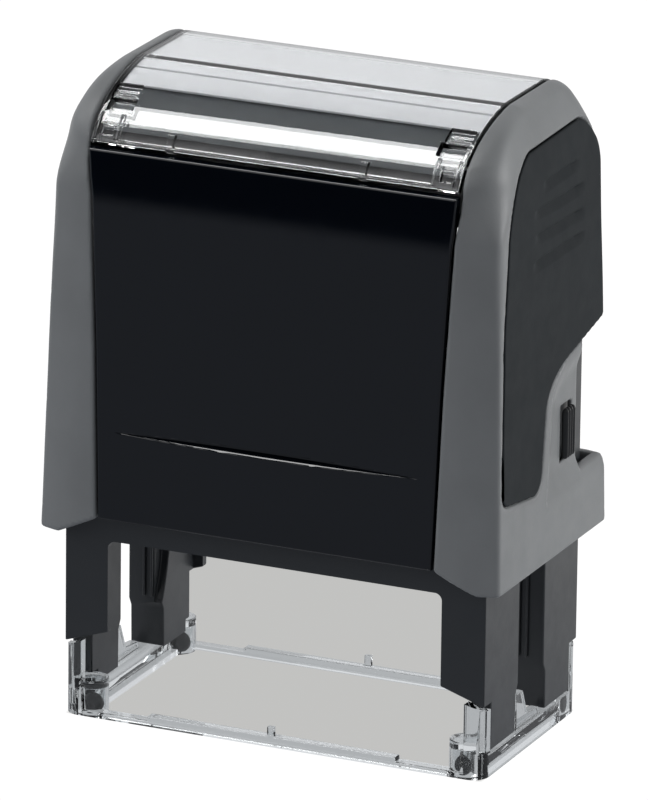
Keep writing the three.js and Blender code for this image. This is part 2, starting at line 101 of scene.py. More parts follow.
# Grips, thumb recesses and lock buttons.
SEAM = 0.2                     # dark line round the grips
SEAM_SLANT = 0.5               # how much the grip's outline narrows for each millimetre inwards
GROOVE_HEIGHT = 1.7            # finger grooves on the grips
GROOVE_DEPTH = 0.65
GROOVE_STEEP = 0.35            # share of a groove's height that its steep upper side takes
GROOVE_SLOPE = 0.78            # and the share that its sloping lower side takes
# The (y, z) places where each finger groove starts at the front and ends at the rear.
GROOVES = (((-1.8, 76.3), (9.4, 76.4)), ((-4.8, 73.2), (10.8, 73.0)),
           ((-4.6, 70.0), (10.8, 69.5)), ((-5.3, 66.5), (10.8, 66.4)))
RECESS_RIM = 31.75             # outer face where the recess starts
RECESS_WALL = 31.0             # face behind the lock buttons
RECESS_RUN = 3.2               # how far in from its outline the recess reaches its full depth
RECESS_LEDGE = 36.5            # height of the ledge under the recess
CORNER_OPEN = {"x": 27, "y": 10.9, "low": 35.0, "high": 60.0}   # the open corner behind the recess
BUTTON_FRONT = 5.9             # front edge of the visible lock button
BUTTON_RIBS = 4
RIB_DEPTH = 0.38

# Panel, window and card.
PANEL_BOTTOM = panel_low[2]
PANEL_TOP = panel_high[2]
PANEL_WALL = 1.6
PANEL_SLIT = {"z": 40.6, "half": 0.55, "depth": 0.85, "middle": -0.1, "reach": 23.0}
WINDOW_WALL = 1.3
# Clip pockets in the window's front corners: depth, from and to across, from and to in height.
CLIP_POCKETS = ((0.45, (21.6, 25.1), (83.75, 84.8)), (0.85, (21.3, 24.9), (82.45, 83.6)),
                (0.55, (22.9, 24.6), (79.9, 80.9)), (0.20, (21.9, 22.3), (79.3, 82.1)),
                (0.20, (24.9, 25.2), (79.3, 82.1)))
WINDOW_NOTCHES = ((11.6, 12.6), (-15.4, -14.4))   # from and to across, inside its front edge
CARD_DEPTH = 1.55              # card under the window's outer face
CARD_THICK = 0.3
CARD_HALF = 25.4
CARD_STRIPS = ((13.5, -3.9), (-4.35, -8.3))       # rear and front end of the card and the strip before it

# Spring and slot rails.
SPRING_WIRE = 0.75             # radius of the wire
SPRING_TURNS = 9
RAIL_MIDDLES = (26.4, 27.5)    # x of the two rails
RAIL_HALF = 0.18
RAIL_REACH = ((3.7, 10.5), (4.3, 50))             # lowest and highest y and z


# ---- distance functions: negative inside, in millimetres ----
def smooth_max(a, b, width):
    """The larger of two distances, with the crease between them rounded over a width."""
    overlap = np.maximum(width - np.abs(a - b), 0) / width
    return np.maximum(a, b) + overlap * overlap * width / 4


def ramp(value, start, end):
    """0 before start, 1 after end, with an even curve between them."""
    t = np.clip((value - start) / (end - start), 0, 1)
    return t * t * (3 - 2 * t)


def plane(x, y, z, point, normal):
    """Distance from the plane through a point, positive on the side that it faces."""
    unit = np.array(normal, float) / np.linalg.norm(normal)
    return (x - point[0]) * unit[0] + (y - point[1]) * unit[1] + (z - point[2]) * unit[2]


def slab(value, low, high):
    """Negative between two values."""
    return np.maximum(low - value, value - high)


def outline(start, *moves, steps=24):
    """Points of a closed outline. A move is a line's end, or a curve's control point and its end."""
    points = [np.array(start, float)]
    for move in moves:
        if len(move) == 2:
            points.append(np.array(move, float))
            continue
        first, control, last = points[-1], np.array(move[:2], float), np.array(move[2:], float)
        for i in range(1, steps + 1):
            t = i / steps
            points.append((1 - t) ** 2 * first + 2 * t * (1 - t) * control + t * t * last)
    return np.array(points)


def outline_distance(points, margin=4.0, step=0.12):
    """A quick function for the signed distance to a closed outline, read from a fine table."""
    low, high = points.min(0) - margin, points.max(0) + margin
    first = np.arange(low[0], high[0] + step, step)[:, None]
    second = np.arange(low[1], high[1] + step, step)[None, :]
    nearest = np.full((first.size, second.size), 1e9)
    inside = np.zeros(nearest.shape, bool)
    for start, end in zip(points, np.roll(points, -1, axis=0)):
        along = end - start
        if not along.any():
            continue
        da, db = first - start[0], second - start[1]
        t = np.clip((da * along[0] + db * along[1]) / (along @ along), 0, 1)
        nearest = np.minimum(nearest, (da - t * along[0]) ** 2 + (db - t * along[1]) ** 2)
        if start[1] != end[1]:
            crosses = (second >= min(start[1], end[1])) & (second < max(start[1], end[1]))
            inside ^= crosses & (da < db * along[0] / along[1])
    table = np.where(inside, -1, 1) * np.sqrt(nearest)

    def distance(a, b):
        a, b = np.broadcast_arrays(a, b)
        u = np.clip((a - low[0]) / step, 0, table.shape[0] - 1.001)
        v = np.clip((b - low[1]) / step, 0, table.shape[1] - 1.001)
        i, j = u.astype(int), v.astype(int)
        u, v = u - i, v - j
        near = table[i, j] * (1 - u) + table[i + 1, j] * u
        far = table[i, j + 1] * (1 - u) + table[i + 1, j + 1] * u
        return near * (1 - v) + far * v

    return distance


AXIS_ORDERS = ([0, 1, 2], [1, 2, 0], [2, 0, 1])


def level_surface(distance, low, high, cell):
    """Points, quads and normals of the zero level of a distance function inside a box."""
    axes = [np.arange(a - 1.5 * cell, b + 2.5 * cell, cell) for a, b in zip(low, high)]
    shape = [len(a) for a in axes]
    values = np.broadcast_to(distance(*np.meshgrid(*axes, indexing="ij", sparse=True)), shape)
    cells = [n - 1 for n in shape]
    total, count = np.zeros(cells + [3]), np.zeros(cells)
    for order in AXIS_ORDERS:
        back = np.argsort(order)
        v = values.transpose(order)
        crosses = (v[:-1] < 0) != (v[1:] < 0)
        share = np.where(crosses, v[:-1] / np.where(crosses, v[:-1] - v[1:], 1), 0)
        grid = np.meshgrid(*[axes[n] for n in order], indexing="ij", sparse=True)
        places = [grid[0][:-1] + share * cell, grid[1] + 0 * share, grid[2] + 0 * share]
        for du in (0, 1):
            for dv in (0, 1):
                part = (slice(None), slice(du, v.shape[1] - 1 + du), slice(dv, v.shape[2] - 1 + dv))
                hit = crosses[part]
                count += hit.transpose(back)
                for n in range(3):
                    total[..., order[n]] += (places[n][part] * hit).transpose(back)
    index = np.full(cells, -1)
    used = count > 0
    index[used] = np.arange(used.sum())
    points = total[used] / count[used][:, None]
    quads = []
    for order in AXIS_ORDERS:
        near = index.transpose(order)
        middle = values.transpose(order)[:, 1:-1, 1:-1]
        i, j, k = np.nonzero((middle[:-1] < 0) != (middle[1:] < 0))
        around = [near[i, j, k], near[i, j + 1, k], near[i, j + 1, k + 1], near[i, j, k + 1]]
        faces = np.stack(around, axis=1)
        inward = middle[i, j, k] >= 0
        faces[inward] = faces[inward][:, ::-1]
        quads.append(faces)
    for _ in range(4):
        slope = gradient(distance, points)
        steep = np.maximum((slope ** 2).sum(1), 0.05)
        move = slope * (distance(*points.T) / steep)[:, None]
        points = points - np.clip(move, -cell / 2, cell / 2)
    normals = gradient(distance, points)
    return points, np.concatenate(quads), normals / np.linalg.norm(normals, axis=1)[:, None]


def gradient(distance, points, step=0.06):
    """How a distance function changes along X, Y and Z at each point."""
    slopes = []
    for axis in range(3):
        shift = np.zeros(3)
        shift[axis] = step
        slopes.append((distance(*(points + shift).T) - distance(*(points - shift).T)) / (2 * step))
    return np.stack(slopes, axis=1)


# ---- grids: sheets, turned pieces and swept wire ----
def grid_faces(rows, columns, first=0, wrap=False):
    """Quads between the points of a grid stored row after row."""
    faces = []
    for i in range(rows - 1):
        for j in range(columns if wrap else columns - 1):
            k = (j + 1) % columns
            faces.append([first + i * columns + j, first + i * columns + k,
                          first + (i + 1) * columns + k, first + (i + 1) * columns + j])
    return faces


def plain_mesh(name, points, faces, angle=40):
    """A mesh from points in millimetres, smooth except where it turns by more than an angle."""
    mesh = bpy.data.meshes.new(name)
    mesh.from_pydata((np.asarray(points) * MM).tolist(), [], faces)
    mesh.shade_smooth()
    mesh.set_sharp_from_angle(angle=math.radians(angle))
    return mesh


def spaced(low, high, wide, round_edge, *dense):
    """Values from low to high, closer together in the dense stretches and at the rounded ends."""
    turn = round_edge * (1 - np.cos(np.linspace(0, math.pi / 2, 5)))
    inner_low, inner_high = low + round_edge + 0.05, high - round_edge - 0.05
    values = [low + turn, high - turn, np.linspace(inner_low, inner_high, max(int((high - low) / wide), 2))]
    for start, end, gap in dense:
        values.append(np.arange(start, end + gap / 2, gap))
    values = np.unique(np.round(np.concatenate(values), 4))
    return values[np.concatenate([[True], np.diff(values) > 0.012])]


def thick_sheet(place, across, along, thickness, face=None, back=None, edge=0.25):
    """Points and faces of a closed sheet with rounded edges.

    place gives a point from a position across, a position along and a depth under the surface.
    face and back give extra depths that carve details into the two sides.
    """
    u, v = np.meshgrid(across, along)
    from_edge = np.minimum(np.minimum(u - across[0], across[-1] - u), np.minimum(v - along[0], along[-1] - v))
    inwards = np.clip(edge - from_edge, 0, edge)
    rounding = edge - np.sqrt(edge * edge - inwards * inwards)
    top = rounding + (face(u, v) if face else 0)
    under = thickness - rounding - (back(u, v) if back else 0)
    rows, columns = u.shape
    points = np.concatenate([np.stack(place(u, v, top), -1).reshape(-1, 3),
                             np.stack(place(u, v, under), -1).reshape(-1, 3)])
    faces = grid_faces(rows, columns)
    faces += [quad[::-1] for quad in grid_faces(rows, columns, rows * columns)]
    rim = [j for j in range(columns)]
    rim += [i * columns + columns - 1 for i in range(1, rows)]
    rim += [(rows - 1) * columns + j for j in range(columns - 2, -1, -1)]
    rim += [i * columns for i in range(rows - 2, 0, -1)]
    for start, end in zip(rim, rim[1:] + rim[:1]):
        faces.append([end, start, start + rows * columns, end + rows * columns])
    return points, faces


def turned(profile, segments=32):
    """A closed solid from (radius, height) points turned about Z; it starts and ends on the axis."""
    angles = np.linspace(0, 2 * math.pi, segments, endpoint=False)
    rings = [np.stack([r * np.cos(angles), r * np.sin(angles), np.full(segments, z)], -1)
             for r, z in profile[1:-1]]
    points = np.concatenate(rings + [np.array([[0, 0, profile[0][1]], [0, 0, profile[-1][1]]])])
    faces = grid_faces(len(rings), segments, wrap=True)
    under, over = len(points) - 2, len(points) - 1
    last = (len(rings) - 1) * segments
    for j in range(segments):
        k = (j + 1) % segments
        faces.append([under, k, j])
        faces.append([over, last + j, last + k])
    return points, faces


def swept(path, radius, segments=12):
    """A round wire along a path of points, closed at both ends."""
    path = np.asarray(path)
    forward = np.gradient(path, axis=0)
    forward /= np.linalg.norm(forward, axis=1)[:, None]
    aside = np.cross(forward, [0, 0, 1.0])
    aside /= np.linalg.norm(aside, axis=1)[:, None]
    upward = np.cross(aside, forward)
    angles = np.linspace(0, 2 * math.pi, segments, endpoint=False)
    ring = np.cos(angles)[None, :, None] * aside[:, None] + np.sin(angles)[None, :, None] * upward[:, None]
    points = (path[:, None] + radius * ring).reshape(-1, 3)
    faces = grid_faces(len(path), segments, wrap=True)
    faces.append(list(range(segments - 1, -1, -1)))
    faces.append([len(points) - segments + j for j in range(segments)])
    return points, faces


def rounded_block(low, high, radius, steps=4):
    """A box with evenly rounded edges."""
    work = bmesh.new()
    bmesh.ops.create_cube(work, size=1)
    for vertex in work.verts:
        for k in range(3):
            vertex.co[k] = low[k] if vertex.co[k] < 0 else high[k]
    bmesh.ops.bevel(work, geom=work.edges[:], offset=radius, offset_type="OFFSET", segments=steps,
                    profile=0.5, affect="EDGES", clamp_overlap=True)
    points = [tuple(v.co) for v in work.verts]
    faces = [[v.index for v in f.verts] for f in work.faces]
    work.free()
    return points, faces


# ---- objects ----
def add_object(name, mesh, body, slot, material, *replaced):
    """Places a mesh in the frame as a piece that rides on a body and stands for CAD nodes."""
    piece = bpy.data.objects.new(name, mesh)
    bpy.context.scene.collection.objects.link(piece)
    mesh.materials.clear()
    mesh.materials.append(material)
    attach(piece, body)
    if replaced:
        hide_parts(*replaced)
    return piece


def surface_mesh(name, surface, side=1):
    """A smooth mesh from points, quads and normals; side -1 mirrors it."""
    points, quads, normals = surface
    flip = np.array([side, 1, 1])
    faces = quads if side > 0 else quads[:, ::-1]
    mesh = bpy.data.meshes.new(name)
    mesh.from_pydata((points * flip * MM).tolist(), [], faces.tolist())
    mesh.shade_smooth()
    mesh.normals_split_custom_set_from_vertices((normals * flip).tolist())
    return mesh


def refined_copy(node, width):
    """A copy of a node's mesh with its flat faces joined and its long edges bevelled, in millimetres."""
    work = bmesh.new()
    work.from_mesh(nodes[node].data)
    bmesh.ops.scale(work, vec=(1 / MM,) * 3, verts=work.verts)
    bmesh.ops.remove_doubles(work, verts=work.verts, dist=0.002)
    bmesh.ops.dissolve_limit(work, angle_limit=math.radians(1), verts=work.verts, edges=work.edges)

    def open_ended(edge):
        """True where the edges around both ends are long enough to bevel."""
        return all(min(e.calc_length() for e in v.link_edges) > 2.2 * width for v in edge.verts)

    sharp = [e for e in work.edges
             if e.is_manifold and e.calc_face_angle(0) > math.radians(35) and open_ended(e)]
    bmesh.ops.bevel(work, geom=sharp, offset=width, offset_type="OFFSET", segments=2, profile=0.5,
                    affect="EDGES", clamp_overlap=False)
    bmesh.ops.scale(work, vec=(MM,) * 3, verts=work.verts)
    mesh = bpy.data.meshes.new(node + "_fine")
    work.to_mesh(mesh)
    work.free()
    mesh.shade_smooth()
    mesh.set_sharp_from_angle(angle=math.radians(40))
    return mesh


def weigh_normals(piece):
    """Lets the large faces decide the shading, so that rounded edges stay narrow."""
    modifier = piece.modifiers.new("weighted", "WEIGHTED_NORMAL")
    modifier.keep_sharp = True
    modifier.weight = 60


# ---- materials ----
def new_material(name):
    """A new material with its node tree and its shader."""
    material = bpy.data.materials.new(name)
    material.use_nodes = True
    tree = material.node_tree
    shader = tree.nodes["Principled BSDF"]
    return material, tree, shader


def linear(red, green, blue):
    """A display colour from 0 to 255 as linear light."""
    def channel(value):
        v = value / 255
        return v / 12.92 if v <= 0.04045 else ((v + 0.055) / 1.055) ** 2.4
    return (channel(red), channel(green), channel(blue), 1)


def noise(tree, scale, detail=2.0, stretch=(1, 1, 1)):
    """A noise over the object's own coordinates, scale in waves per millimetre."""
    place = tree.nodes.new("ShaderNodeTexCoord")
    mapping = tree.nodes.new("ShaderNodeMapping")
    mapping.inputs["Scale"].default_value = stretch
    texture = tree.nodes.new("ShaderNodeTexNoise")
    texture.inputs["Scale"].default_value = scale / MM
    texture.inputs["Detail"].default_value = detail
    tree.links.new(place.outputs["Object"], mapping.inputs["Vector"])
    tree.links.new(mapping.outputs["Vector"], texture.inputs["Vector"])
    return texture.outputs["Fac"]


def remapped(tree, value, low, high, start=0.3, end=0.7):
    """A value moved from the range start to end into the range low to high."""
    node = tree.nodes.new("ShaderNodeMapRange")
    node.inputs["From Min"].default_value = start
    node.inputs["From Max"].default_value = end
    node.inputs["To Min"].default_value = low
    node.inputs["To Max"].default_value = high
    tree.links.new(value, node.inputs["Value"])
    return node.outputs["Result"]


def vary_colour(tree, shader, colour, value, amount):
    """Mixes the colour towards a darker and a lighter one by a noise."""
    mix = tree.nodes.new("ShaderNodeMix")
    mix.data_type = "RGBA"
    mix.inputs["A"].default_value = [c * (1 - amount) for c in colour[:3]] + [1]
    mix.inputs["B"].default_value = [min(c * (1 + amount), 1) for c in colour[:3]] + [1]
    tree.links.new(remapped(tree, value, 0, 1), mix.inputs["Factor"])
    tree.links.new(mix.outputs["Result"], shader.inputs["Base Color"])


def add_bump(tree, shader, value, height):
    """Small hills on the surface, their height in millimetres."""
    bump = tree.nodes.new("ShaderNodeBump")
    bump.inputs["Strength"].default_value = 1
    bump.inputs["Distance"].default_value = height * MM
    tree.links.new(value, bump.inputs["Height"])
    tree.links.new(bump.outputs["Normal"], shader.inputs["Normal"])


def moulded(name, colour, roughness, grain=2.5, height=0.01, specular=0.5, spread=0.05):
    """Moulded plastic: a fine grain, slow changes of tone and a roughness that wanders a little."""
    material, tree, shader = new_material(name)
    vary_colour(tree, shader, linear(*colour), noise(tree, 0.12, detail=4), 0.06)
    rough = remapped(tree, noise(tree, 0.35, detail=3), roughness - spread, roughness + spread)
    tree.links.new(rough, shader.inputs["Roughness"])
    shader.inputs["Specular IOR Level"].default_value = specular
    if height:
        add_bump(tree, shader, noise(tree, grain, detail=3), height)
    return material


def clear_plastic(name, tint=(0.97, 0.98, 0.98), roughness=0.02, ripple=0.004):
    """Clear moulded plastic whose faces are very slightly wavy."""
    material, tree, shader = new_material(name)
    shader.inputs["Base Color"].default_value = (*tint, 1)
    shader.inputs["Transmission Weight"].default_value = 1
    shader.inputs["IOR"].default_value = 1.49
    rough = remapped(tree, noise(tree, 0.2, detail=3), roughness * 0.5, roughness * 1.5)
    tree.links.new(rough, shader.inputs["Roughness"])
    add_bump(tree, shader, noise(tree, 0.15, detail=1), ripple)
    return material


def rubber_material(name, colour, roughness=0.8):
    """Matt rubber with a faint bloom."""
    material, tree, shader = new_material(name)
    vary_colour(tree, shader, linear(*colour), noise(tree, 0.4, detail=4), 0.12)
    rough = remapped(tree, noise(tree, 1.2), roughness - 0.08, roughness + 0.08)
    tree.links.new(rough, shader.inputs["Roughness"])
    shader.inputs["Sheen Weight"].default_value = 0.15
    shader.inputs["Sheen Roughness"].default_value = 0.4
    add_bump(tree, shader, noise(tree, 5, detail=3), 0.01)
    return material


def porous(name, colour, cell, depth):
    """Foam or felt: open cells and a soft, uneven tone."""
    material, tree, shader = new_material(name)
    vary_colour(tree, shader, linear(*colour), noise(tree, 1.2, detail=5), 0.25)
    shader.inputs["Roughness"].default_value = 0.95
    shader.inputs["Sheen Weight"].default_value = 0.4
    place = tree.nodes.new("ShaderNodeTexCoord")
    cells = tree.nodes.new("ShaderNodeTexVoronoi")
    cells.inputs["Scale"].default_value = 1 / (cell * MM)
    tree.links.new(place.outputs["Object"], cells.inputs["Vector"])
    add_bump(tree, shader, cells.outputs["Distance"], depth)
    return material


def paper(name, colour):
    """Matt paper with fibres that run one way."""
    material, tree, shader = new_material(name)
    vary_colour(tree, shader, linear(*colour), noise(tree, 0.8, detail=5), 0.02)
    shader.inputs["Roughness"].default_value = 0.75
    add_bump(tree, shader, noise(tree, 4, detail=4, stretch=(1, 0.35, 1)), 0.008)
    return material


def drawn_steel(name):
    """Bright wire with fine marks along its length."""
    material, tree, shader = new_material(name)
    shader.inputs["Base Color"].default_value = linear(188, 190, 194)
    shader.inputs["Metallic"].default_value = 1
    rough = remapped(tree, noise(tree, 2, stretch=(1, 1, 6)), 0.18, 0.36)
    tree.links.new(rough, shader.inputs["Roughness"])
    add_bump(tree, shader, noise(tree, 3, stretch=(1, 1, 8)), 0.005)
    return material


# Colours are as a display shows them, from 0 to 255.
GREY = moulded("grey_shell", (116, 118, 119), 0.42, grain=3.2, height=0.010, specular=0.4)
GRIP = moulded("grip_soft", (41, 44, 46), 0.7, grain=4.0, height=0.016, specular=0.08)
GLOSS = moulded("gloss_panel", (6, 9, 15), 0.03, height=0, specular=0.4, spread=0.008)
BLACK = moulded("black_frame", (33, 36, 39), 0.36, grain=3.0, height=0.008)
HIDDEN = moulded("black_mechanism", (24, 26, 28), 0.42, grain=2.5, height=0.010)
TRAY = moulded("tray_dark", (72, 76, 80), 0.5, grain=2.5, height=0.010)
BUTTON = moulded("button_black", (20, 21, 22), 0.35, grain=3.0, height=0.006)
CLEAR = clear_plastic("clear_base", tint=(0.84, 0.86, 0.87))
WINDOW = clear_plastic("clear_window", roughness=0.01, ripple=0.002)
CARD = paper("index_card", (246, 246, 249))
RUBBER = rubber_material("foot_rubber", (30, 31, 33))
PLATE = rubber_material("plate_rubber", (132, 44, 34), 0.6)
FOAM = porous("cushion_foam", (186, 180, 166), 0.35, 0.06)
INK = porous("ink_felt", (26, 38, 92), 0.2, 0.05)
STEEL = drawn_steel("spring_steel")


# ---- handle: one outer form that the cheeks and the grips are cut from ----
def side_profile(inset=0.0, steps=24):
    """The handle's outline seen from the side, as (y, z)."""
    low = Y_SHOULDER + LEAN * (SHOULDER - PROFILE_BOTTOM) - inset
    high = Y_SHOULDER - inset
    return outline(
        (-low, PROFILE_BOTTOM), (low, PROFILE_BOTTOM), (high, SHOULDER),
        (16.2 - inset * 0.9, TOP - 0.3 - inset, 10 - inset * 0.4, TOP - inset),
        (-2, TOP - inset),
        (-13.9 + inset * 0.6, 85 - inset * 0.8, -high, SHOULDER), steps=steps)


def front_profile():
    """The right half's outline seen from the front, as (x, z); it runs past the middle and the top."""
    return outline(
        (-20, PROFILE_BOTTOM), (32.98, PROFILE_BOTTOM), (31.7, 57), (31.3, 75),
        (31, 83.5, 27.6, TOP), (24, TOP + 4), (-20, TOP + 4))


side_distance = outline_distance(side_profile())
cavity_side_distance = outline_distance(side_profile(WALL))
front_distance = outline_distance(front_profile())
grip_distance = outline_distance(outline(
    (26, 55.8), (6, 51.7), (-1.5, 50, -2, 45.3), (-3.4, 38.5), (-4, 36.4, -5.6, 36.4), (-13.8, 37.5),
    (-15.4, 37.7, -15.4, 39.4), (-14.5, 60), (-13, 72), (-11.4, 80, -5, 82), (11, 82.4),
    (14, 82.3, 20, 74.5)))
recess_distance = outline_distance(outline(
    (30, 30), (30, 55.4), (7, 51), (0.9, 49.8, 0.2, 44.5), (-0.6, 38), (-1.6, 30)))


def corner_planes(x, y, z, inset=0.0):
    """The two facets at a corner: a slight turn beside the panel and a stronger one before the side."""
    front = [plane(x, -y, z, *facet) for facet in FRONT_FACETS]
    rear = [plane(x, y, z, *facet) for facet in REAR_FACETS]
    first = np.where(y < 0, front[0], rear[0])
    second = np.where(y < 0, front[1] + ramp(z, 72, 80), rear[1])
    return first + inset, second + inset


def outer_form(x, y, z):
    """The whole outside of the handle's right half: softer towards its top, above all at the front."""
    first, second = corner_planes(x, y, z)
    crown = ramp(z, 72, 79) * (1 - ramp(z, 81, 86)) * (1 - ramp(y, -6, 4))
    around = smooth_max(side_distance(y, z), first, 0.3)
    around = smooth_max(around, second, 0.5 + crown)
    around = smooth_max(around, plane(x, y, z, *REAR_TOP_FACET), 1)
    softness = 0.5 + 0.6 * ramp(z, 56, 70) + 2.9 * crown
    return smooth_max(around, front_distance(x, z), softness)


def cavity_form(x, y, z):
    """The hollow inside; its walls thicken above the height that the inner frame reaches."""
    first, second = corner_planes(x, y, z, CORNER_WALL)
    width = x - np.interp(z, [PROFILE_BOTTOM, 70, 76, CAVITY_TOP], [CAVITY, CAVITY, 29.8, 26.2])
    hollow = np.maximum(cavity_side_distance(y, z), np.maximum(width, z - CAVITY_TOP))
    thicker = CROWN_THICKER * ramp(z, CROWN_START, 78) * ramp(x, CROWN_HALF, 28.5)
    return np.maximum(hollow, np.maximum(first, second) + thicker)


def middle_zone(z):
    """Half width of the panel and the window at a height."""
    return np.interp(z, MIDDLE_HEIGHTS, MIDDLE_WIDTHS)


def recess_form(x, y, z):
    """Negative where the thumb recess takes material away from a cheek."""
    depth = -recess_distance(y, z)
    face = RECESS_RIM - (RECESS_RIM - RECESS_WALL) * ramp(depth, 0, RECESS_RUN)
    ledge = plane(x, y, z, (RECESS_WALL, 0, RECESS_LEDGE), (-3.5, 0, -1.5))
    scoop = np.maximum(face - x, -depth - 0.3)
    return smooth_max(scoop, ledge, 0.25)


def grip_edge(x, y, z):
    """Distance from the grip's outline, which narrows inwards so that no light shows through the seam."""
    return grip_distance(y, z) + SEAM_SLANT * (SIDE_FACE - x)


def cheek_form(x, y, z):
    """The right cheek: the outer shell beside the panel, less its cutouts."""
    shell = smooth_max(outer_form(x, y, z), -cavity_form(x, y, z), 0.3)
    shell = smooth_max(shell, middle_zone(z) + GAP / 2 - x, 0.5)
    rear_panel_room = np.maximum(x - REAR_PANEL - GAP, np.maximum(5 - y, z - PANEL_TOP - GAP))
    shell = smooth_max(shell, -rear_panel_room, 0.4)
    grip_room = np.maximum(grip_edge(x, y, z) - SEAM, REAR_PANEL + GAP - SEAM - x)
    shell = smooth_max(shell, -grip_room, 0.3)
    shell = smooth_max(shell, -recess_form(x, y, z), 0.25)
    corner = np.maximum(CORNER_OPEN["y"] - y, slab(z, CORNER_OPEN["low"], CORNER_OPEN["high"]))
    shell = smooth_max(shell, -np.maximum(corner, CORNER_OPEN["x"] - x), 0.5)
    slot = np.maximum(slab(y, BUTTON_FRONT - GAP, button_high[1] + GAP),
                      slab(z, button_low[2] - GAP, button_high[2] + GAP))
    shell = smooth_max(shell, -slot, 0.3)
    edge = PANEL_BOTTOM - (x - EDGE_START) * (PANEL_BOTTOM - BOTTOM) / EDGE_WIDTH
    return smooth_max(shell, np.maximum(edge, BOTTOM) - z, 0.5)


def groove_depth(y, z):
    """The finger grooves across the grips: steep above, sloping out below, run out at both ends."""
    depth = 0
    for front, rear in GROOVES:
        share = (y - front[0]) / (rear[0] - front[0])
        top = front[1] + share * (rear[1] - front[1]) + GROOVE_HEIGHT / 2
        down = (top - z) / GROOVE_HEIGHT
        section = ramp(down, 0, GROOVE_STEEP) * np.clip((1 - down) / GROOVE_SLOPE, 0, 1)
        ends = ramp(y, front[0] - 0.6, front[0] + 2) * ramp(-y, -rear[0] - 0.6, 2 - rear[0])
        depth = depth + GROOVE_DEPTH * section * ends
    return depth


def grip_form(x, y, z):
    """The right grip pad, which fills its room in the cheek."""
    side = smooth_max(outer_form(x, y, z) + groove_depth(y, z), grip_edge(x, y, z), 0.4)
    side = smooth_max(side, REAR_PANEL + GAP - x, 0.3)
    return smooth_max(side, -cavity_form(x, y, z), 0.3)


def button_form(x, y, z):
    """A lock button with upright ribs and a rounded top."""
    share = (y - BUTTON_FRONT) / (button_high[1] - BUTTON_FRONT)
    rib = 0.5 - 0.5 * np.cos(share * BUTTON_RIBS * 2 * math.pi)
    face = x - button_high[0] + RIB_DEPTH * (1 - np.sqrt(rib))
    sides = smooth_max(face, button_low[0] - x, 0.1)
    sides = smooth_max(sides, slab(y, BUTTON_FRONT, button_high[1]), 0.3)
    return smooth_max(sides, slab(z, button_low[2], button_high[2]), 0.7)


def build_sides():
    """The cheeks, grips and lock buttons, each worked out on the right and mirrored to the left."""
    cheek = level_surface(cheek_form, (23.5, -19.4, 25.7), (32.8, 19.4, 86.8), 0.4)
    grip = level_surface(grip_form, (27.8, -15, 36), (32.4, 19.0, 84), 0.3)
    button = level_surface(button_form, (30.9, BUTTON_FRONT, 37.3), (31.9, 8.9, 44.5), 0.14)
    for name, side in SIDES:
        parts = (("lock_button_%s_ribbed" % name, button, "lock_" + name, "button", BUTTON, "lock_button_"),
                 ("cheek_shell_" + name, cheek, "handle", "grey", GREY, "cheek_"),
                 ("grip_pad_" + name, grip, "handle", "grip", GRIP, "grip_insert_"))
        for piece, surface, body, slot_name, material, node in parts:
            add_object(piece, surface_mesh(piece, surface, side), body, slot_name, material, node + name)


build_sides()


# ---- gloss front panel with a slit that tapers at both ends ----
def on_front(x, z, depth):
    """A place on the front of the handle, as wide as the middle zone lets it be there."""
    wide = x * (middle_zone(z) - GAP / 2) / (middle_zone(PANEL_TOP) - GAP / 2)
    return wide, -(Y_SHOULDER + LEAN * (SHOULDER - z)) + depth, z + depth * LEAN


def slit_depth(x, z):
    """A lens shaped slit: its lower lip looks up to the light and its upper side is steep."""
    half = PANEL_SLIT["half"] * np.clip(1 - ((x - PANEL_SLIT["middle"]) / PANEL_SLIT["reach"]) ** 2, 0, 1)
    half = np.maximum(half, 1e-6)
    climb = (z - PANEL_SLIT["z"] + half) / (2 * half)
    section = np.interp(climb, [0, 0.3, 0.5, 0.85, 1], [0, 0.45, 1, 1, 0])
    return PANEL_SLIT["depth"] * half / PANEL_SLIT["half"] * section


def build_front_panel():
    """The panel, with a finer grid where the slit crosses it."""
    half = middle_zone(PANEL_TOP) - GAP / 2
    across = spaced(-half, half, 1.2, 0.3)
    along = spaced(PANEL_BOTTOM, PANEL_TOP, 3, 0.3, (39.9, 41.3, 0.07))
    sheet = thick_sheet(on_front, across, along, PANEL_WALL, slit_depth, edge=0.3)
    mesh = plain_mesh("front_panel_gloss", *sheet, angle=25)
    weigh_normals(add_object("front_panel_gloss", mesh, "handle", "gloss", GLOSS, "front_panel"))


build_front_panel()


# ---- window and card, bent over the top along the side profile ----
arch = side_profile(steps=160)[2:][::-1]
arch_length = np.concatenate([[0], np.cumsum(np.linalg.norm(np.diff(arch, axis=0), axis=1))])


def arch_at(y):
    """How far along the arch, from the front shoulder, a place at y lies."""
    return np.interp(y, arch[:, 0], arch_length)


def arch_height(along):
    """The height of a place along the arch."""
    return np.interp(along, arch_length, arch[:, 1])


def front_height(along):
    """The same on the front side of the arch, and far above it on the rear side."""
    return np.where(along < arch_at(-2), arch_height(along), 99)


def on_arch(x, along, depth):
    """A place at a depth under the arch, square to it."""
    here, before, after = [np.stack([np.interp(along + step, arch_length, arch[:, k]) for k in (0, 1)])
                           for step in (0, -0.35, 0.35)]
    run = (after - before) / np.hypot(*(after - before))
    return x + 0 * along, here[0] + run[1] * depth, here[1] - run[0] * depth


def dent(value, low, high, soft=0.14):
    """1 between low and high, falling to 0 over a soft step at each end."""
    return ramp(value, low - soft / 2, low + soft / 2) * ramp(-value, -high - soft / 2, soft / 2 - high)


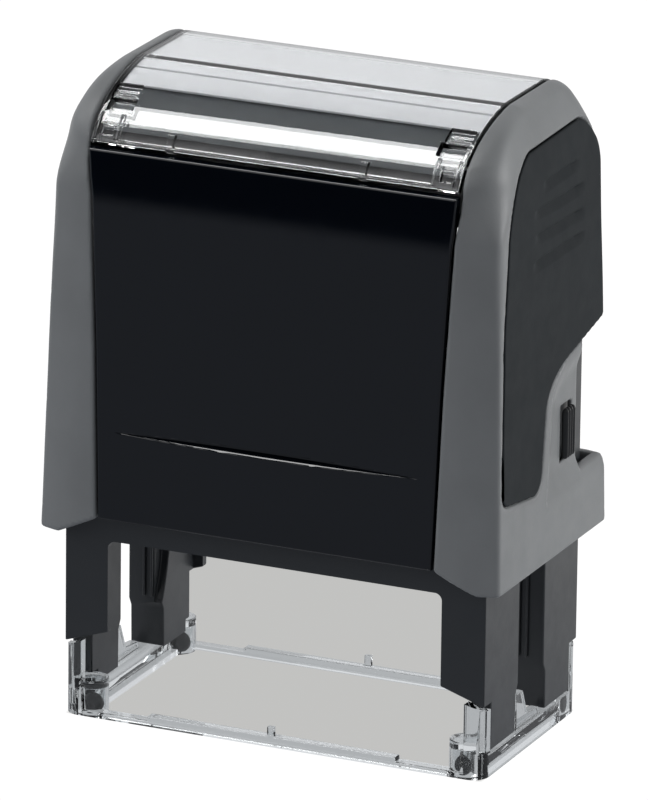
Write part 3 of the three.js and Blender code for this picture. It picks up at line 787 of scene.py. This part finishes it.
def window_face(x, along):
    """Depths carved into the window's face: clip pockets in the front corners and an edge bead."""
    z = front_height(along)
    side = np.abs(x)
    pockets = sum(depth * dent(side, *across) * dent(z, *heights) for depth, across, heights in CLIP_POCKETS)
    ridges = 0.10 * np.sin((z - 83.8) * 2 * math.pi / 0.42) * dent(side, 21.9, 25) * dent(z, 83.85, 84.5)
    bead = 0.14 * dent(z, 79.36, 79.5, 0.1) * dent(side, -1, 22)
    return pockets + ridges + bead


def window_back(x, along):
    """Two shallow notches inside the window's front edge."""
    notches = sum(dent(x, *across) for across in WINDOW_NOTCHES)
    return 0.5 * notches * dent(front_height(along), 79.5, 81)


def build_window():
    """The window, with a finer grid at the clip corners, the notches and the front edge."""
    half = middle_zone(TOP) - GAP / 2
    start = np.interp(window_low[2], arch[:200, 1], arch_length[:200])
    end = arch_length[-1] - start
    corner = (21.1, 25.4, 0.11)
    across = spaced(-half, half, 2.4, 0.25, corner, (-corner[1], -corner[0], 0.11),
                    (11.4, 12.8, 0.1), (-15.6, -14.2, 0.1))
    along = spaced(start, end, 0.5, 0.25, (start, arch_at(-9.3), 0.1))
    sheet = thick_sheet(on_arch, across, along, WINDOW_WALL, window_face, window_back)
    mesh = plain_mesh("index_window_clear", *sheet, angle=50)
    weigh_normals(add_object("index_window_clear", mesh, "handle", "clear", WINDOW, "index_window"))


def card_place(x, along, depth):
    """A place at a depth under the card's face."""
    return on_arch(x, along, depth + CARD_DEPTH)


def build_card():
    """The card and, past a narrow gap, the pale strip in front of it."""
    points, faces = [], []
    for rear, front in CARD_STRIPS:
        across = spaced(-CARD_HALF, CARD_HALF, 6, 0.05)
        along = spaced(arch_at(front), arch_at(rear), 0.6, 0.05)
        sheet = thick_sheet(card_place, across, along, CARD_THICK, edge=0.05)
        faces += [[len(points) + n for n in quad] for quad in sheet[1]]
        points += list(sheet[0])
    mesh = plain_mesh("index_card_paper", points, faces)
    add_object("index_card_paper", mesh, "handle", "card", CARD, "index_card")


build_window()
build_card()


# ---- soft pieces, feet and spring ----
def build_foot(name):
    """A rubber ball with a flat underside."""
    low, high = node_box(name)
    radius, height = (high[0] - low[0]) / 2, high[2] - low[2]
    start = -math.acos(0.55)
    angles = np.linspace(start, math.pi / 2, 16)
    middle = -radius * math.sin(start)
    ball = [(radius * math.cos(a), middle + min(radius, height - middle) * math.sin(a)) for a in angles]
    profile = [(0, 0), *ball[:-1], (0, ball[-1][1])]
    points, faces = turned(profile)
    centre = (low + high) / 2
    points = points + np.array([centre[0], centre[1], low[2]])
    add_object(name + "_domed", plain_mesh(name + "_domed", points, faces), "frame", "rubber", RUBBER, name)


def build_spring():
    """A compression spring with closed ends, in place of the plain tube."""
    low, high = node_box("return_spring")
    radius = (high[0] - low[0]) / 2 - SPRING_WIRE
    bottom, top = low[2] + SPRING_WIRE, high[2] - SPRING_WIRE
    turns = SPRING_TURNS + 2
    turn = np.linspace(0, turns, turns * 36 + 1)
    closed = 2 * SPRING_WIRE
    rise = np.interp(turn, [0, 1, turns - 1, turns], [0, closed, top - bottom - closed, top - bottom])
    angle = turn * 2 * math.pi
    path = np.stack([radius * np.cos(angle), radius * np.sin(angle), bottom + rise], -1)
    mesh = plain_mesh("return_spring_coil", *swept(path, SPRING_WIRE), angle=60)
    coil = add_object("return_spring_coil", mesh, "frame", "steel", STEEL, "return_spring")
    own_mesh(coil)


def build_soft_block(node, body, slot_name, material, radius):
    """A pad of foam or felt with soft edges."""
    mesh = plain_mesh(node + "_soft", *rounded_block(*node_box(node), radius), angle=60)
    piece = add_object(node + "_soft", mesh, body, slot_name, material, node)


for end in ("front", "rear"):
    for side_name, _ in SIDES:
        build_foot("rubber_foot_%s_%s" % (end, side_name))
build_spring()
build_soft_block("die_cushion", "die", "foam", FOAM, 0.3)
build_soft_block("ink_pad", "cartridge", "ink", INK, 0.35)


# ---- carried over pieces with their edges eased ----
REFINED = (
    ("inner_frame", "frame", "black", BLACK, 0.2),
    ("clear_base", "frame", "clear", CLEAR, 0.15),
    ("press_yoke", "handle", "black", HIDDEN, 0.2),
    ("rear_panel", "handle", "gloss", GLOSS, 0.15),
    ("index_tray", "handle", "black", TRAY, 0.15),
    ("die_carrier", "die", "black", HIDDEN, 0.2),
    ("ink_cartridge", "cartridge", "black", HIDDEN, 0.2),
    ("text_plate", "die", "plate", PLATE, 0.1),
)


def build_refined():
    """The carried over pieces; the rear panel is made a little narrower, to give the cheeks room."""
    for node, body, slot_name, material, width in REFINED:
        piece = add_object(node + "_fine", refined_copy(node, width), body, slot_name, material, node)
        weigh_normals(piece)
        if node == "rear_panel":
            piece.data.transform(Matrix.Diagonal((REAR_PANEL / node_box(node)[1][0], 1, 1, 1)))


def build_rails():
    """Two fine upright rails on the rear face of each side slot."""
    for name, side in SIDES:
        points, faces = [], []
        for x in RAIL_MIDDLES:
            low, high = (x - RAIL_HALF, *RAIL_REACH[0]), (x + RAIL_HALF, *RAIL_REACH[1])
            part = rounded_block(low, high, 0.12, 3)
            faces += [[len(points) + n for n in face] for face in part[1]]
            points += [(side * px, py, pz) for px, py, pz in part[0]]
        if side < 0:
            faces = [face[::-1] for face in faces]
        mesh = plain_mesh("slot_rails_" + name, points, faces)
        add_object("slot_rails_" + name, mesh, "frame", "black", BLACK)


build_refined()
build_rails()


# ---- camera, in degrees and metres ----
CAMERA_AZIMUTH, CAMERA_ELEVATION, CAMERA_ROLL = 24.175, 17.989, -0.704
CAMERA_DISTANCE = 1.2482
CAMERA_TARGET = Vector((0, 0, 0.043))
CAMERA_DROP = 0.0002245        # how far the camera sits below the line to its target
CAMERA_LENS = 432.9            # focal length in millimetres


def direction(azimuth, elevation):
    """A unit vector. Azimuth 0 is in front, 90 on the right."""
    a, e = math.radians(azimuth), math.radians(elevation)
    return Vector((math.sin(a) * math.cos(e), -math.cos(a) * math.cos(e), math.sin(e)))


def add_camera():
    """A long lens from the front right, a little above."""
    azimuth, roll = math.radians(CAMERA_AZIMUTH), math.radians(CAMERA_ROLL)
    back = direction(CAMERA_AZIMUTH, CAMERA_ELEVATION)
    right = Vector((math.cos(azimuth), math.sin(azimuth), 0))
    up = back.cross(right)
    across = math.cos(roll) * right - math.sin(roll) * up
    upright = math.sin(roll) * right + math.cos(roll) * up
    data = bpy.data.cameras.new("camera")
    data.lens = CAMERA_LENS
    data.sensor_width = 36
    data.clip_start, data.clip_end = 0.05, 20
    camera = bpy.data.objects.new("camera", data)
    bpy.context.scene.collection.objects.link(camera)
    place = CAMERA_TARGET + back * CAMERA_DISTANCE - up * CAMERA_DROP
    camera.matrix_world = Matrix((
        (across.x, upright.x, back.x, place.x),
        (across.y, upright.y, back.y, place.y),
        (across.z, upright.z, back.z, place.z),
        (0, 0, 0, 1)))
    bpy.context.scene.camera = camera


# ---- studio, in metres ----
FLOOR_EDGE = -0.277            # past this line in front, reflections find no floor
FLOOR_DROP = 0.0001            # the floor lies this far under the stamp
# Painted shadow: the floor's glow turns to the grey SHADE under the stamp and in a strip straight behind it.
SHADE_HALF = 0.0295            # half width of the shaded ground under the stamp
SHADE_FRONT, SHADE_REAR = -0.0153, 0.059
SHADE_BEND = 0.015             # from here to the rear the shaded ground slants to the left
SHADE_SLANT = 0.4495
WHITE = (1.05, 1.05, 1.05, 1)  # light given off by the open floor
SHADE = (0.54, 0.54, 0.53, 1)


def add_softbox(name, towards, distance, size, radiance, lit=None):
    """A rectangle that glows evenly; radiance is its brightness and lit names the only pieces it lights."""
    data = bpy.data.lights.new(name, "AREA")
    data.energy = radiance * math.pi * size[0] * size[1]
    data.shape = "RECTANGLE"
    data.size, data.size_y = size
    light = bpy.data.objects.new(name, data)
    bpy.context.scene.collection.objects.link(light)
    light.location = Vector((0, 0, 0.05)) + towards * distance
    light.rotation_euler = towards.to_track_quat("Z", "Y").to_euler()
    if lit is not None:
        receivers = bpy.data.collections.new(name + "_receivers")
        for piece in lit:
            receivers.objects.link(piece)
        light.light_linking.receiver_collection = receivers


def mixed(tree, factor, dark, light):
    """A colour between two, each a colour or the output of another node."""
    mix = tree.nodes.new("ShaderNodeMix")
    mix.data_type = "RGBA"
    for name, value in (("A", dark), ("B", light)):
        if isinstance(value, tuple):
            mix.inputs[name].default_value = value
        else:
            tree.links.new(value, mix.inputs[name])
    tree.links.new(factor, mix.inputs["Factor"])
    return mix.outputs["Result"]


def grey(value):
    """A very slightly cool grey."""
    return (value, value * 1.01, value * 1.03, 1)


def bands(tree, value, *stops):
    """Greys along a value: each stop is a place from 0 to 1 and how bright it is there."""
    node = tree.nodes.new("ShaderNodeValToRGB")
    elements = node.color_ramp.elements
    while len(elements) < len(stops):
        elements.new(0.5)
    for element, (place, level) in zip(elements, stops):
        element.position = place
        element.color = grey(level)
    tree.links.new(value, node.inputs["Fac"])
    return node.outputs["Color"]


def add_world():
    """White behind the stamp as the camera sees it, and a studio of soft panels for everything else."""
    world = bpy.data.worlds.new("studio")
    bpy.context.scene.world = world
    world.use_nodes = True
    tree = world.node_tree
    path = tree.nodes.new("ShaderNodeLightPath")
    place = tree.nodes.new("ShaderNodeTexCoord")
    split = tree.nodes.new("ShaderNodeSeparateXYZ")
    tree.links.new(place.outputs["Generated"], split.inputs["Vector"])
    height = split.outputs["Z"]
    left = bands(tree, height, (0.0, 0.45), (0.22, 0.60), (0.40, 2.0), (0.68, 2.0), (0.84, 0.10))
    right = bands(tree, height, (0.0, 0.16), (0.42, 0.30), (0.68, 0.30), (0.86, 0.08))
    front = mixed(tree, remapped(tree, split.outputs["X"], 0, 1, -0.3, 0.4), left, right)
    behind = bands(tree, height, (0.0, 0.40), (0.14, 0.60), (0.26, 0.80), (0.60, 0.80), (0.80, 0.12))
    side = remapped(tree, split.outputs["Y"], 0, 1, -0.1, 0.35)
    studio = mixed(tree, side, front, behind)
    seen = mixed(tree, path.outputs["Is Camera Ray"], studio, (1, 1, 1, 1))
    tree.links.new(seen, tree.nodes["Background"].inputs["Color"])


def maths(tree, operation, a, b):
    """One sum on two inputs, each a number or the output of another node."""
    node = tree.nodes.new("ShaderNodeMath")
    node.operation = operation
    for socket, value in zip(node.inputs, (a, b)):
        if isinstance(value, (int, float)):
            socket.default_value = value
        else:
            tree.links.new(value, socket)
    return node.outputs["Value"]


def painted_floor_shadow(tree, x, y):
    """1 where a shadow is painted into the floor's glow: on the ground under the stamp and in a strip
    straight behind it, else 0.
    """
    behind = maths(tree, "MAXIMUM", maths(tree, "SUBTRACT", y, SHADE_BEND), 0)
    across = maths(tree, "ABSOLUTE", maths(tree, "ADD", x, maths(tree, "MULTIPLY", behind, SHADE_SLANT)), 0)
    half = remapped(tree, behind, SHADE_HALF, 0.0268, 0, 0.003)
    sides = remapped(tree, maths(tree, "SUBTRACT", half, across), 0, 1, -0.0004, 0.0004)
    ends = maths(tree, "MULTIPLY", remapped(tree, y, 0, 1, SHADE_FRONT - 0.0003, SHADE_FRONT + 0.0003),
                 remapped(tree, y, 1, 0, SHADE_REAR - 0.001, SHADE_REAR + 0.001))
    return maths(tree, "MULTIPLY", sides, ends)


def add_floor():
    """A glowing sweep: white where it is seen straight on, painted shade of grey under the stamp, straight
    behind it and through clear parts, and grey in reflections.
    """
    points = [(-1500, -1500, 0), (1500, -1500, 0), (1500, 1500, 0), (-1500, 1500, 0)]
    floor = bpy.data.objects.new("floor", plain_mesh("floor", points, [[0, 1, 2, 3]]))
    floor.location.z = -FLOOR_DROP
    bpy.context.scene.collection.objects.link(floor)
    material, tree, shader = new_material("floor_pale")
    path = tree.nodes.new("ShaderNodeLightPath")
    place = tree.nodes.new("ShaderNodeTexCoord")
    split = tree.nodes.new("ShaderNodeSeparateXYZ")
    tree.links.new(place.outputs["Object"], split.inputs["Vector"])
    near = remapped(tree, split.outputs["Y"], 0, 1, FLOOR_EDGE - 0.004, FLOOR_EDGE + 0.004)
    depth = remapped(tree, split.outputs["Y"], 0, 1, -0.05, 0.10)
    table = mixed(tree, depth, (0.32, 0.34, 0.38, 1), (0.80, 0.80, 0.80, 1))
    reflected = mixed(tree, near, (0.003, 0.004, 0.006, 1), table)
    # Painted shadow on the floor as the camera sees it straight on.
    shade = painted_floor_shadow(tree, split.outputs["X"], split.outputs["Y"])
    straight = mixed(tree, shade, WHITE, SHADE)
    # Painted shade: through the clear parts the floor glows an even grey instead of white.
    bounced = mixed(tree, path.outputs["Is Transmission Ray"], reflected, (0.50, 0.51, 0.52, 1))
    glow = mixed(tree, path.outputs["Is Camera Ray"], bounced, straight)
    tree.links.new(glow, shader.inputs["Emission Color"])
    shader.inputs["Emission Strength"].default_value = 1
    shader.inputs["Base Color"].default_value = (0, 0, 0, 1)
    shader.inputs["Specular IOR Level"].default_value = 0
    floor.data.materials.append(material)


def add_lights():
    """A key from the right and a strip overhead, stronger for the glossy pieces than for the rest."""
    pieces = [piece for piece in bpy.context.scene.objects if piece.type == "MESH"]
    glossy = [piece for piece in pieces if piece.active_material in (WINDOW, GLOSS)]
    others = [piece for piece in pieces if piece not in glossy and piece.name != "floor"]
    add_softbox("key_right", direction(112, 12), 0.7, (0.4, 0.3), 4.0)
    strip = Vector((-0.39, -0.106, 0.915)).normalized()
    add_softbox("strip_glossy", strip, 0.6, (0.20, 0.32), 12.0, lit=glossy)
    add_softbox("strip_soft", strip, 0.6, (0.20, 0.32), 5.0, lit=others)


add_camera()
add_world()
add_floor()
add_lights()
bpy.context.scene.view_settings.view_transform = "Standard"
